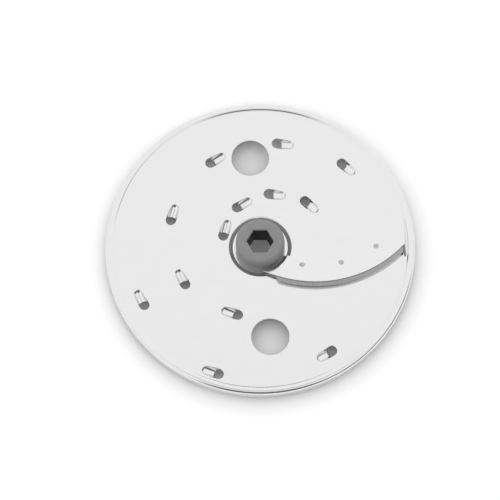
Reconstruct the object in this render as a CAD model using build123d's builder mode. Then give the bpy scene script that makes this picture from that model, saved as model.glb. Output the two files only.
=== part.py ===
from build123d import *
import os
from math import atan2, cos, degrees, sin, sqrt, tan

# A reversible slicing and shredding disc, standing on the underside of its hub, slicing side up.
# Millimetres, +Z up. The origin is on the hub axis at the hub's underside.
# Angles are plan angles in degrees, counter-clockwise from +X.

# Stamped plate, with a sloping step up to its rim
disc_diameter = 170.0
sheet = 0.8
plate_height = 7.4
rim_height = 5.0
rim_bend = 2.0
rim_land = 1.15
rim_step = 0.6
rim_step_run = 0.9
rim_step_foot = 0.7
rim_step_crease = 0.1

# Dished recess round the hub, with a 45 degree wall
recess_diameter = 34.0
recess_depth = 1.7
recess_top_bend = 1.6
recess_foot_bend = 0.6

# Moulded hub and its hexagonal socket
hub_diameter = 26.8
hub_height = 16.0
hub_edge_radius = 2.6
neck_diameter = 22.4
hex_across_flats = 12.7
hex_lead_in = 0.5

# Finger holes
finger_hole_diameter = 20.6
finger_hole_offset = 52.5
finger_hole_angle = 96.0
finger_hole_edge = 0.3

# Slicing ramp: a lanced tongue lifted about an arc, concentric with its own front edge
ramp_center_offset = 53.1
ramp_center_angle = 55.5
ramp_hinge_radius = 52.4
ramp_edge_radius = 65.4
ramp_rise = 3.7
hinge_bend = 8.0
ramp_first_angle = -116.0
ramp_sweep = 101.0
lance_gap = 1.0
ramp_hub_gap = 1.9
ramp_hub_edge = 0.6
ramp_rim_gap = 0.25
end_wall_lean = 1.2
end_wall_run_out = 4.6
ledge_margin = 0.3

# Spot welds that hold the blade
weld_count = 3
weld_hinge_gap = 2.7
weld_first_angle = -97.4
weld_step = 22.4
weld_diameter = 3.0
weld_rise = 0.5

# Slicing blade
blade_thickness = 1.2
blade_back = 0.8
blade_reach = 1.9
blade_land = 0.2
blade_bevel_gap = 0.2
blade_end_clearance = 0.15
blade_cut_angle = -60.8
blade_tip_angle = -109.5

# Shredding teeth: scoops pressed down, open at their counter-clockwise end
tooth_hole_diameter = 5.6
tooth_width = 5.4
tooth_length = 9.5
tooth_lip_depth = 2.4
tooth_tail_depth = 1.5
tooth_edge = 0.5
tooth_rays = (47.4, 81.4, 119.2, 162.6, 208.3, 253.0, 302.9)
tooth_hub_gap = 4.2
tooth_rim_gap = 3.7

# Levels and radii that follow from the sizes above; a bend of the step takes up a share of its radius
disc_radius = disc_diameter / 2
bend_share = tan(atan2(rim_step, rim_step_run) / 2)
step_bend = sheet + rim_step_crease
step_radius = disc_radius - rim_bend - rim_land - step_bend * bend_share - rim_step_run
flat_radius = step_radius - rim_step_foot * bend_share
plate_underside = plate_height - sheet
rim_foot = plate_height - rim_height
recess_radius = recess_diameter / 2
ledge_radius = recess_radius - recess_depth
ledge_top = plate_height - recess_depth
ledge_underside = ledge_top - sheet
hub_radius = hub_diameter / 2
neck_radius = neck_diameter / 2
cutter_height = 4 * hub_height
level_gap = sheet / 100
one_edge_limit = 0.8 * sheet
two_edge_limit = 0.4 * sheet

# Upright plane for turned profiles: their seams run along -X, clear of the ramp and the teeth
turning_plane = Plane(origin=(0, 0, 0), x_dir=(-1, 0, 0), z_dir=(0, 1, 0))

# Hub
with BuildPart() as hub:
    with BuildSketch(turning_plane):
        with BuildLine():
            Polyline(
                (0, 0),
                (hub_radius, 0),
                (hub_radius, ledge_underside),
                (neck_radius, ledge_underside),
                (neck_radius, ledge_top),
                (hub_radius, ledge_top),
                (hub_radius, hub_height),
                (0, hub_height),
                close=True,
            )
        make_face()
    revolve(axis=Axis.Z)
    outer_edges = hub.edges().filter_by(GeomType.CIRCLE).group_by(Axis.Z)
    fillet(outer_edges[0] + outer_edges[-1], radius=hub_edge_radius)
    with BuildSketch(Plane.XY):
        RegularPolygon(radius=hex_across_flats / 2, side_count=6, major_radius=False)
    extrude(amount=hub_height, mode=Mode.SUBTRACT)
    hub_ends = hub.faces().filter_by(Plane.XY).group_by(Axis.Z)
    socket_mouths = hub_ends[0].edges() + hub_ends[-1].edges()
    chamfer(socket_mouths.filter_by(GeomType.LINE), length=hex_lead_in)

# Frame of the ramp: radii are measured from its own vertical axis
ramp_center = Vector(ramp_center_offset, 0, 0).rotate(Axis.Z, ramp_center_angle)
ramp_axis = Axis(ramp_center, (0, 0, 1))
ramp_slope = atan2(ramp_rise, ramp_edge_radius - ramp_hinge_radius)
ramp_start_radius = ramp_hinge_radius - hinge_bend * tan(ramp_slope / 2)
ramp_end_radius = flat_radius - ramp_rim_gap
ramp_inner_radius = hub_radius + ramp_hub_gap
ramp_top = plate_height + ramp_rise


def ramp_point(radius, angle, height):
    """A point given by its radius and angle about the ramp's axis."""
    turned = Vector(radius, 0, height).rotate(Axis.Z, angle)
    return ramp_center + turned


def ramp_plane(angle):
    """An upright plane through the ramp's axis: X runs outwards, Y runs up."""
    outward = Vector(1, 0, 0).rotate(Axis.Z, angle)
    return Plane(origin=ramp_center, x_dir=outward, z_dir=outward.cross(Vector(0, 0, 1)))


def on_ramp_top(edge):
    """Whether an edge of the ramp's sheet runs along its top face, and not along its underside or an end."""
    middle = edge.position_at(0.5)
    run = middle - ramp_center
    slope_height = max(0, sqrt(run.X**2 + run.Y**2) - ramp_hinge_radius) * tan(ramp_slope)
    return middle.Z > plate_height + slope_height - sheet / 4


def end_cone(inset):
    """The solid inside the ramp's leaning outer end wall, drawn in by an inset."""
    foot = ramp_end_radius - inset
    with BuildPart() as cone:
        with BuildSketch(turning_plane):
            with BuildLine():
                Polyline(
                    (0, rim_foot),
                    (foot, rim_foot),
                    (foot, plate_height),
                    (foot - 2 * end_wall_lean, plate_height + 2 * ramp_rise),
                    (0, plate_height + 2 * ramp_rise),
                    close=True,
                )
            make_face()
        revolve(axis=Axis.Z)
    return cone.part


outer_end = end_cone(0)
inner_end = end_cone(sheet)
blade_end = end_cone(sheet + blade_end_clearance)

# Lifted sheet of the ramp
with BuildPart() as ramp_sheet:
    with BuildSketch(ramp_plane(ramp_first_angle)):
        with BuildLine():
            bend = JernArc((ramp_start_radius, plate_height), (1, 0), hinge_bend, degrees(ramp_slope))
            Line(bend @ 1, (ramp_edge_radius, ramp_top))
            offset(amount=sheet, side=Side.RIGHT)
        make_face()
    revolve(axis=ramp_axis, revolution_arc=ramp_sweep)
    add(outer_end, mode=Mode.INTERSECT)
    Cylinder(ramp_inner_radius, cutter_height, mode=Mode.SUBTRACT)
    hub_side = ramp_sheet.faces().filter_by(GeomType.CYLINDER).sort_by_distance((0, 0, plate_height))[0]
    chamfer(hub_side.edges().filter_by(on_ramp_top), length=min(ramp_hub_edge, one_edge_limit))

# Leaning wall that closes the ramp's outer end
with BuildPart() as end_wall:
    with BuildSketch(ramp_plane(ramp_first_angle)):
        with BuildLine():
            bend = JernArc((ramp_start_radius, plate_height), (1, 0), hinge_bend, degrees(ramp_slope))
            Polyline(
                bend @ 1,
                (ramp_edge_radius, ramp_top),
                (ramp_edge_radius + end_wall_run_out, plate_height),
                (ramp_edge_radius + end_wall_run_out, plate_underside),
                (ramp_start_radius, plate_underside),
                bend @ 0,
            )
        make_face()
    revolve(axis=ramp_axis, revolution_arc=ramp_sweep)
    add(outer_end, mode=Mode.INTERSECT)
    add(inner_end, mode=Mode.SUBTRACT)

# Opening left in the plate where the tongue was lanced and lifted
with BuildPart() as ramp_window:
    with BuildSketch(ramp_plane(ramp_first_angle)):
        with BuildLine():
            Polyline(
                (ramp_start_radius, rim_foot),
                (ramp_edge_radius + lance_gap, rim_foot),
                (ramp_edge_radius + lance_gap, ramp_top),
                (ramp_start_radius, ramp_top),
                close=True,
            )
        make_face()
    revolve(axis=ramp_axis, revolution_arc=ramp_sweep)
    add(inner_end, mode=Mode.INTERSECT)
    Cylinder(hub_radius + ledge_margin, cutter_height, mode=Mode.SUBTRACT)

# Frame of one tooth: the origin is at its hole's centre on the plate's top face, X runs to its shallow tail
tooth_radius = tooth_width / 2
tooth_hole_radius = tooth_hole_diameter / 2
lip_rise = tooth_radius - tooth_lip_depth
tail_rise = tooth_radius - tooth_tail_depth
tail_x = tooth_length - sqrt(tooth_radius**2 - tail_rise**2)
tooth_tilt = atan2(tail_rise - lip_rise, tail_x - tooth_hole_radius)
tooth_mouth = Vector(0, 0, lip_rise - tooth_hole_radius * tan(tooth_tilt))
tooth_direction = Vector(cos(tooth_tilt), 0, sin(tooth_tilt))
tooth_reach = tail_x / cos(tooth_tilt)


def scoop(radius):
    """A round-ended bar along the tooth's sloping centre line."""
    with BuildPart() as bar:
        with BuildSketch(Plane(origin=tooth_mouth, x_dir=tooth_direction, z_dir=(0, -1, 0))):
            with BuildLine():
                tail = CenterArc((tooth_reach, 0), radius, 0, 90)
                head = CenterArc((0, 0), radius, 90, 90)
                Line(tail @ 1, head @ 0)
                Line(head @ 1, tail @ 0)
            make_face()
        revolve(axis=Axis(tooth_mouth, tooth_direction))
    return bar.part


outer_scoop = scoop(tooth_radius + sheet)
inner_scoop = scoop(tooth_radius)

# Metal of one tooth pressed down below the plate
with BuildPart() as tooth_shell:
    add(outer_scoop)
    split(bisect_by=Plane.XY.offset(-sheet / 2), keep=Keep.BOTTOM)
    split(bisect_by=Plane.YZ, keep=Keep.TOP)

# Each tooth steps one ray clockwise and one row outwards from the last, along three arms
inner_arm = [(row, 3 - row) for row in range(4)]
middle_arm = [(row, 9 - row) for row in range(4, 10)]
outer_arm = [(11 - abs(5 - ray), ray) for ray in range(6, 3, -1)]
tooth_rows = inner_arm + middle_arm + outer_arm
last_row = max(row for row, ray in tooth_rows)
first_radius = recess_radius + tooth_hub_gap
row_step = (flat_radius - tooth_rim_gap - first_radius) / last_row
tooth_places = []
for row, ray in tooth_rows:
    place = Vector(first_radius + row * row_step, 0, plate_height).rotate(Axis.Z, tooth_rays[ray])
    tooth_places.append(Location(place, (0, 0, tooth_rays[ray] - 90)))

# Nubs of the spot welds on the ramp's top face, with the poles of their balls to the side
weld_ball = (weld_diameter**2 / 4 + weld_rise**2) / (2 * weld_rise)
weld_radius = ramp_hinge_radius + weld_hinge_gap
weld_height = plate_height + weld_hinge_gap * tan(ramp_slope)
with BuildPart() as weld_nub:
    with Locations((0, 0, weld_rise - weld_ball)):
        Sphere(weld_ball, rotation=(90, 0, 0))
    split(bisect_by=Plane.XY.offset(-sheet / 2), keep=Keep.TOP)
weld_places = []
for number in range(weld_count):
    angle = weld_first_angle + number * weld_step
    upright = Vector(-sin(ramp_slope), 0, cos(ramp_slope)).rotate(Axis.Z, angle)
    weld_places.append(Location(Plane(origin=ramp_point(weld_radius, angle, weld_height), z_dir=upright)))

# Disc plate
with BuildPart() as disc_plate:
    with BuildSketch(turning_plane):
        with BuildLine():
            FilletPolyline(
                (neck_radius, ledge_top),
                (ledge_radius, ledge_top),
                (recess_radius, plate_height),
                (step_radius, plate_height),
                (step_radius + rim_step_run, plate_height + rim_step),
                (disc_radius, plate_height + rim_step),
                (disc_radius, rim_foot),
                radius=[recess_foot_bend, recess_top_bend, rim_step_foot, step_bend, rim_bend],
            )
            offset(amount=sheet, side=Side.RIGHT)
        make_face()
    revolve(axis=Axis.Z)
    with PolarLocations(finger_hole_offset, 2, finger_hole_angle):
        Hole(finger_hole_diameter / 2)
    finger_hole_mouths = disc_plate.edges(Select.LAST).filter_by(GeomType.CIRCLE)
    fillet(finger_hole_mouths, radius=min(finger_hole_edge, two_edge_limit))
    add(ramp_window.part, mode=Mode.SUBTRACT)
    add(ramp_sheet.part)
    add(end_wall.part)
    with Locations(*weld_places):
        add(weld_nub.part)
    with Locations(*tooth_places):
        add(tooth_shell.part)
    with Locations(*tooth_places):
        add(inner_scoop, mode=Mode.SUBTRACT)
    tooth_mouths = disc_plate.edges(Select.LAST)
    tooth_mouths = tooth_mouths.filter_by_position(Axis.Z, plate_height - level_gap, plate_height + level_gap)
    fillet(tooth_mouths, radius=min(tooth_edge, one_edge_limit))
    with Locations(*tooth_places):
        Cylinder(tooth_hole_radius, cutter_height, mode=Mode.SUBTRACT)

# Slicing blade, laid along the underside of the ramp
blade_run = (ramp_edge_radius - ramp_hinge_radius) / cos(ramp_slope)
blade_tip_run = (ramp_edge_radius + blade_reach - ramp_hinge_radius) / cos(ramp_slope)


def blade_point(run, depth):
    """A point in the ramp's section: run up the slope from the hinge, depth below the ramp's underside."""
    below = sheet + depth
    return (
        ramp_hinge_radius + run * cos(ramp_slope) + below * sin(ramp_slope),
        plate_height + run * sin(ramp_slope) - below * cos(ramp_slope),
    )


with BuildPart() as slicing_blade:
    with BuildSketch(ramp_plane(ramp_first_angle)):
        with BuildLine():
            Polyline(
                blade_point(blade_back, 0),
                blade_point(blade_run + blade_bevel_gap, 0),
                blade_point(blade_tip_run, blade_thickness - blade_land),
                blade_point(blade_tip_run, blade_thickness),
                blade_point(blade_back, blade_thickness),
                close=True,
            )
        make_face()
    revolve(axis=ramp_axis, revolution_arc=ramp_sweep)
    add(blade_end, mode=Mode.INTERSECT)
    Cylinder(ramp_inner_radius + sheet, cutter_height, mode=Mode.SUBTRACT)
    cut_direction = Vector(1, 0, 0).rotate(Axis.Z, blade_cut_angle)
    cut_normal = Vector(0, 0, 1).cross(cut_direction)
    cut_origin = ramp_point(ramp_edge_radius, blade_tip_angle, 0)
    split(bisect_by=Plane(cut_origin, x_dir=cut_direction, z_dir=cut_normal), keep=Keep.TOP)

os.makedirs("parts", exist_ok=True)
disc_plate.part.label = "disc_plate"
export_step(disc_plate.part, "parts/disc_plate.step")
slicing_blade.part.label = "slicing_blade"
export_step(slicing_blade.part, "parts/slicing_blade.step")
hub.part.label = "hub"
export_step(hub.part, "parts/hub.step")
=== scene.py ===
import math

import bpy
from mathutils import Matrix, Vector

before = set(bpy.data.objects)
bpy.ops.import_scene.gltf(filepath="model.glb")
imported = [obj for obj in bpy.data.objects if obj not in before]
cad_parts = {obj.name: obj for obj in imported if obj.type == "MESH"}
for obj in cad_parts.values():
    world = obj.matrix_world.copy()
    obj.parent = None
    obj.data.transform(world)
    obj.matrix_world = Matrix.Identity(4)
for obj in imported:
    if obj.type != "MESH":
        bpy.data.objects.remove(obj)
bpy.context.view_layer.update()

# A reversible slicing and shredding disc of stamped steel on a grey moulded hub, standing on a white table.
# Metres, +Z up. The origin is on the hub axis at the hub's underside.
MM = 0.001
WHITE = (1.0, 1.0, 1.0, 1.0)

# Camera: looks down at the hub axis at the height of the plate's top face, which shows at the target pixel
IMAGE_PIXELS = 500
CAMERA_ELEVATION = math.radians(69.8)
CAMERA_DISTANCE = 1.8
CAMERA_CLIP_END = 48.0
TARGET_HEIGHT = 7.4 * MM
TARGET_PIXEL = (260.2, 246.5)
SENSOR_WIDTH = 36.0
LENS = 236.3

# Table: its glow, seen only by the camera and in mirroring faces, grows between two reaches from the axis;
# leaving it out under and next to the disc paints shade there
TABLE_RADIUS = 12.0
TABLE_SIDES = 96
TABLE_COLOR = (0.96, 0.96, 0.96, 1.0)
TABLE_GLOW = 0.25
TABLE_GLOW_REACH = (72 * MM, 100 * MM)

# Studio: a white tent with soft darker patches. Degrees; azimuth runs counter-clockwise from +X.
# Widths and heights are halves: a patch is full up to the first and has faded out at the second.
TENT_LEVEL = 1.0
TENT_PATCHES = (
    dict(azimuth=-90.0, widths=(16.0, 40.0), elevation=5.0, heights=(38.0, 62.0), change=-0.86),
    dict(azimuth=180.0, widths=(40.0, 80.0), elevation=0.0, heights=(10.0, 50.0), change=-0.08),
    dict(azimuth=0.0, widths=(30.0, 60.0), elevation=0.0, heights=(10.0, 50.0), change=-0.06),
    dict(azimuth=-30.0, widths=(25.0, 46.0), elevation=6.0, heights=(14.0, 40.0), change=-0.80),
    dict(azimuth=90.0, widths=(170.0, 176.0), elevation=90.0, heights=(9.0, 17.0), change=-0.35),
)

# Noise: its middle stretch is what a finish's range is spread over
NOISE_MIDDLE = (0.25, 0.75)
NOISE_DETAIL = 4.0

# Plate finish: ranges of grey and roughness, and the spacing of each texture along X, Y and Z
PLATE_COLOR = (0.80, 0.85)
PLATE_ROUGHNESS = (0.07, 0.16)
PLATE_GRAIN = (14 * MM, 0.15 * MM, 0.15 * MM)
PLATE_GRAIN_DEPTH = 0.002 * MM
MARK_ROUGHNESS = (0.0, 0.05)
MARK_SPACING = (9 * MM, 6 * MM, 6 * MM)

# Spot welds: on an arc round the ramp's centre. A weld's darker, duller finish fades between two reaches.
WELD_CENTER = Vector((30.08, 43.76, 0.0)) * MM
WELD_RADIUS = 55.1 * MM
WELD_ANGLES = (-97.4, -75.0, -52.6)
WELD_REACH = (1.2 * MM, 1.8 * MM)
WELD_COLOR = 0.6
WELD_ROUGHNESS = 0.08

# Blade finish: the spacing of its lines is along the arc, across it and up. The underside gets painted
# light: its colour is brighter, and its roughness lower, by a factor that comes in between two heights of
# the face's unit normal.
BLADE_COLOR = (0.35, 0.45)
BLADE_ROUGHNESS = (0.26, 0.42)
BLADE_LINES = (0.25 * MM, 1.0, 3 * MM)
BLADE_LINES_DEPTH = 0.01 * MM
BLADE_UNDERSIDE_LIGHT_AND_GLOSS = 2.0
BLADE_FACING = (-0.5, 0.5)

# Hub finish, with the reach of the painted shade inside the socket
HUB_COLOR = (0.27, 0.30)
HUB_ROUGHNESS = (0.36, 0.52)
HUB_GRAIN = (0.35 * MM, 0.35 * MM, 0.35 * MM)
HUB_GRAIN_DEPTH = 0.015 * MM
HUB_CLOUD = (5 * MM, 5 * MM, 5 * MM)
BORE_RADIUS = 7.5 * MM
BORE_ENDS = (0.5 * MM, 15.5 * MM)
# Painted shade: the socket's walls are darkened to this fraction, standing in for the shade inside it
BORE_PAINTED_SHADE = 0.08


def direction(azimuth, elevation):
    """A unit vector from angles in degrees."""
    turn, lift = math.radians(azimuth), math.radians(elevation)
    return Vector((math.cos(lift) * math.cos(turn), math.cos(lift) * math.sin(turn), math.sin(lift)))


def new_material(name):
    """A node material with its node tree and principled shader."""
    material = bpy.data.materials.new(name)
    material.use_nodes = True
    return material, material.node_tree, material.node_tree.nodes["Principled BSDF"]


def add_node(tree, kind, **settings):
    """A node with the given settings."""
    node = tree.nodes.new(kind)
    for key, value in settings.items():
        setattr(node, key, value)
    return node


def join(tree, source, target):
    """Links a socket, or sets a plain value."""
    if isinstance(source, bpy.types.NodeSocket):
        tree.links.new(source, target)
    else:
        target.default_value = source


def coordinates(tree, kind="Object"):
    """Texture coordinates, which are the object's own in metres unless another kind is asked for."""
    return add_node(tree, "ShaderNodeTexCoord").outputs[kind]


def vector_math(tree, operation, first, second=None, result="Vector"):
    """One step of vector arithmetic."""
    node = add_node(tree, "ShaderNodeVectorMath", operation=operation)
    join(tree, first, node.inputs[0])
    if second is not None:
        join(tree, second, node.inputs[1])
    return node.outputs[result]


def number_math(tree, operation, first, second=0.0):
    """One step of arithmetic."""
    node = add_node(tree, "ShaderNodeMath", operation=operation)
    join(tree, first, node.inputs[0])
    join(tree, second, node.inputs[1])
    return node.outputs["Value"]


def flatten(tree, vector):
    """A vector without its height."""
    return vector_math(tree, "MULTIPLY", vector, (1.0, 1.0, 0.0))


def split(tree, vector):
    """The X, Y and Z of a vector."""
    node = add_node(tree, "ShaderNodeSeparateXYZ")
    join(tree, vector, node.inputs["Vector"])
    return node.outputs


def map_range(tree, value, from_low, from_high, to_low, to_high, smooth=False):
    """Maps one range to another."""
    kind = "SMOOTHSTEP" if smooth else "LINEAR"
    node = add_node(tree, "ShaderNodeMapRange", interpolation_type=kind)
    for socket, number in zip(node.inputs[1:5], (from_low, from_high, to_low, to_high)):
        socket.default_value = number
    join(tree, value, node.inputs["Value"])
    return node.outputs["Result"]


def noise(tree, place, spacing):
    """Noise with a grain of the given spacing along each axis."""
    node = add_node(tree, "ShaderNodeTexNoise")
    node.inputs["Scale"].default_value = 1.0
    node.inputs["Detail"].default_value = NOISE_DETAIL
    join(tree, vector_math(tree, "DIVIDE", place, spacing), node.inputs["Vector"])
    return node.outputs["Fac"]


def spread(tree, value, low, high):
    """Maps the middle of a noise to a range."""
    return map_range(tree, value, *NOISE_MIDDLE, low, high)


def grey(tree, level, shader):
    """Sets a grey base colour."""
    color = add_node(tree, "ShaderNodeCombineColor")
    for channel in ("Red", "Green", "Blue"):
        join(tree, level, color.inputs[channel])
    join(tree, color.outputs["Color"], shader.inputs["Base Color"])


def bump(tree, shader, height, distance):
    """Raises a surface by a texture."""
    node = add_node(tree, "ShaderNodeBump")
    node.inputs["Distance"].default_value = distance
    join(tree, height, node.inputs["Height"])
    join(tree, node.outputs["Normal"], shader.inputs["Normal"])


def plate_material():
    """Bright rolled stainless sheet with a fine straight grain, faint wiping marks and dull spot welds."""
    material, tree, shader = new_material("plate_steel")
    shader.inputs["Metallic"].default_value = 1.0
    place = coordinates(tree)
    grain = noise(tree, place, PLATE_GRAIN)
    marks = noise(tree, place, MARK_SPACING)
    level = spread(tree, grain, *PLATE_COLOR)
    roughness = spread(tree, grain, *PLATE_ROUGHNESS)
    roughness = number_math(tree, "ADD", roughness, spread(tree, marks, *MARK_ROUGHNESS))
    flat = flatten(tree, place)
    for angle in WELD_ANGLES:
        center = WELD_CENTER + WELD_RADIUS * direction(angle, 0.0)
        reach = vector_math(tree, "DISTANCE", flat, center, "Value")
        spot = map_range(tree, reach, *WELD_REACH, 1.0, 0.0, smooth=True)
        level = number_math(tree, "MULTIPLY", level, map_range(tree, spot, 0.0, 1.0, 1.0, WELD_COLOR))
        roughness = number_math(tree, "ADD", roughness, map_range(tree, spot, 0.0, 1.0, 0.0, WELD_ROUGHNESS))
    grey(tree, level, shader)
    join(tree, roughness, shader.inputs["Roughness"])
    bump(tree, shader, grain, PLATE_GRAIN_DEPTH)
    return material


def blade_material():
    """Blade steel with a ground bevel, grinding lines across its edge, and painted light brightening its
    underside.
    """
    material, tree, shader = new_material("blade_steel")
    shader.inputs["Metallic"].default_value = 1.0
    run = split(tree, vector_math(tree, "SUBTRACT", coordinates(tree), WELD_CENTER))
    around = number_math(tree, "ARCTAN2", run["Y"], run["X"])
    along = add_node(tree, "ShaderNodeCombineXYZ")
    join(tree, number_math(tree, "MULTIPLY", around, WELD_RADIUS), along.inputs["X"])
    join(tree, run["Z"], along.inputs["Z"])
    lines = noise(tree, along.outputs["Vector"], BLADE_LINES)
    facing = split(tree, coordinates(tree, "Normal"))["Z"]
    # Painted light: the underside's colour is brightened by this factor, and its roughness lowered by it
    side = map_range(tree, facing, *BLADE_FACING, BLADE_UNDERSIDE_LIGHT_AND_GLOSS, 1.0)
    grey(tree, number_math(tree, "MULTIPLY", spread(tree, lines, *BLADE_COLOR), side), shader)
    roughness = number_math(tree, "DIVIDE", spread(tree, lines, *BLADE_ROUGHNESS), side)
    join(tree, roughness, shader.inputs["Roughness"])
    bump(tree, shader, lines, BLADE_LINES_DEPTH)
    return material


def hub_material():
    """Grey satin moulded plastic, finely grained, with painted shade darkening the inside of its socket."""
    material, tree, shader = new_material("hub_plastic")
    place = coordinates(tree)
    grain = noise(tree, place, HUB_GRAIN)
    cloud = noise(tree, place, HUB_CLOUD)
    height = split(tree, place)["Z"]
    reach = vector_math(tree, "LENGTH", flatten(tree, place), result="Value")
    # Painted shade: colour darkens the walls inside the socket, between its two ends
    inside = number_math(tree, "LESS_THAN", reach, BORE_RADIUS)
    for operation, end in zip(("GREATER_THAN", "LESS_THAN"), BORE_ENDS):
        inside = number_math(tree, "MULTIPLY", inside, number_math(tree, operation, height, end))
    shade = map_range(tree, inside, 0.0, 1.0, 1.0, BORE_PAINTED_SHADE)
    grey(tree, number_math(tree, "MULTIPLY", spread(tree, cloud, *HUB_COLOR), shade), shader)
    join(tree, spread(tree, grain, *HUB_ROUGHNESS), shader.inputs["Roughness"])
    bump(tree, shader, grain, HUB_GRAIN_DEPTH)
    return material


def dress(node, material):
    """Gives a node of the model its finish."""
    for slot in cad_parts[node].material_slots:
        slot.material = material


def lay_table():
    """A round white table top, whiter away from the disc where the camera or a mirroring face sees it, with
    painted shade where that glow is left out under and next to the disc.
    """
    bpy.ops.mesh.primitive_circle_add(vertices=TABLE_SIDES, radius=TABLE_RADIUS, fill_type="NGON")
    table = bpy.context.object
    table.name = "table"
    material, tree, shader = new_material("table_white")
    shader.inputs["Base Color"].default_value = TABLE_COLOR
    shader.inputs["Roughness"].default_value = 1.0
    shader.inputs["Specular IOR Level"].default_value = 0.0
    ray = add_node(tree, "ShaderNodeLightPath")
    seen = ray.outputs["Is Camera Ray"]
    for kind in ("Is Glossy Ray", "Is Transmission Ray"):
        seen = number_math(tree, "MAXIMUM", seen, ray.outputs[kind])
    reach = vector_math(tree, "LENGTH", coordinates(tree), result="Value")
    # Painted shade: the glow is left out within the nearer reach and fades in up to the farther one
    glow = map_range(tree, reach, *TABLE_GLOW_REACH, 0.0, TABLE_GLOW, smooth=True)
    join(tree, number_math(tree, "MULTIPLY", seen, glow), shader.inputs["Emission Strength"])
    table.data.materials.append(material)


def light_studio():
    """Lights the disc by a white tent all round, with soft darker patches."""
    world = bpy.data.worlds.new("tent")
    bpy.context.scene.world = world
    world.use_nodes = True
    tree = world.node_tree
    ray = coordinates(tree, "Generated")
    lift = number_math(tree, "ARCSINE", split(tree, ray)["Z"])
    level_ray = vector_math(tree, "NORMALIZE", flatten(tree, ray))
    level = TENT_LEVEL
    for patch in TENT_PATCHES:
        facing = vector_math(tree, "DOT_PRODUCT", level_ray, direction(patch["azimuth"], 0.0), "Value")
        full, faded = (math.cos(math.radians(width)) for width in patch["widths"])
        across = map_range(tree, facing, faded, full, 0.0, 1.0, smooth=True)
        middle = math.radians(patch["elevation"])
        height = number_math(tree, "ABSOLUTE", number_math(tree, "SUBTRACT", lift, middle))
        full, faded = (math.radians(limit) for limit in patch["heights"])
        upright = map_range(tree, height, full, faded, patch["change"], 0.0, smooth=True)
        factor = number_math(tree, "ADD", number_math(tree, "MULTIPLY", across, upright), 1.0)
        level = number_math(tree, "MULTIPLY", factor, level)
    background = tree.nodes["Background"]
    background.inputs["Color"].default_value = WHITE
    join(tree, level, background.inputs["Strength"])


def set_camera():
    """Looks at the hub from the photograph's side, framed by a small lens shift."""
    data = bpy.data.cameras.new("camera")
    data.sensor_width = SENSOR_WIDTH
    data.lens = LENS
    data.clip_end = CAMERA_CLIP_END
    data.shift_x = -(TARGET_PIXEL[0] - IMAGE_PIXELS / 2) / IMAGE_PIXELS
    data.shift_y = (TARGET_PIXEL[1] - IMAGE_PIXELS / 2) / IMAGE_PIXELS
    camera = bpy.data.objects.new("camera", data)
    target = Vector((0.0, 0.0, TARGET_HEIGHT))
    away = Vector((0.0, -math.cos(CAMERA_ELEVATION), math.sin(CAMERA_ELEVATION)))
    camera.location = target + CAMERA_DISTANCE * away
    camera.rotation_euler = (-away).to_track_quat("-Z", "Y").to_euler()
    bpy.context.scene.collection.objects.link(camera)
    bpy.context.scene.camera = camera


bpy.context.scene.view_settings.view_transform = "Standard"
dress("disc_plate", plate_material())
dress("slicing_blade", blade_material())
dress("hub", hub_material())
lay_table()
light_studio()
set_camera()
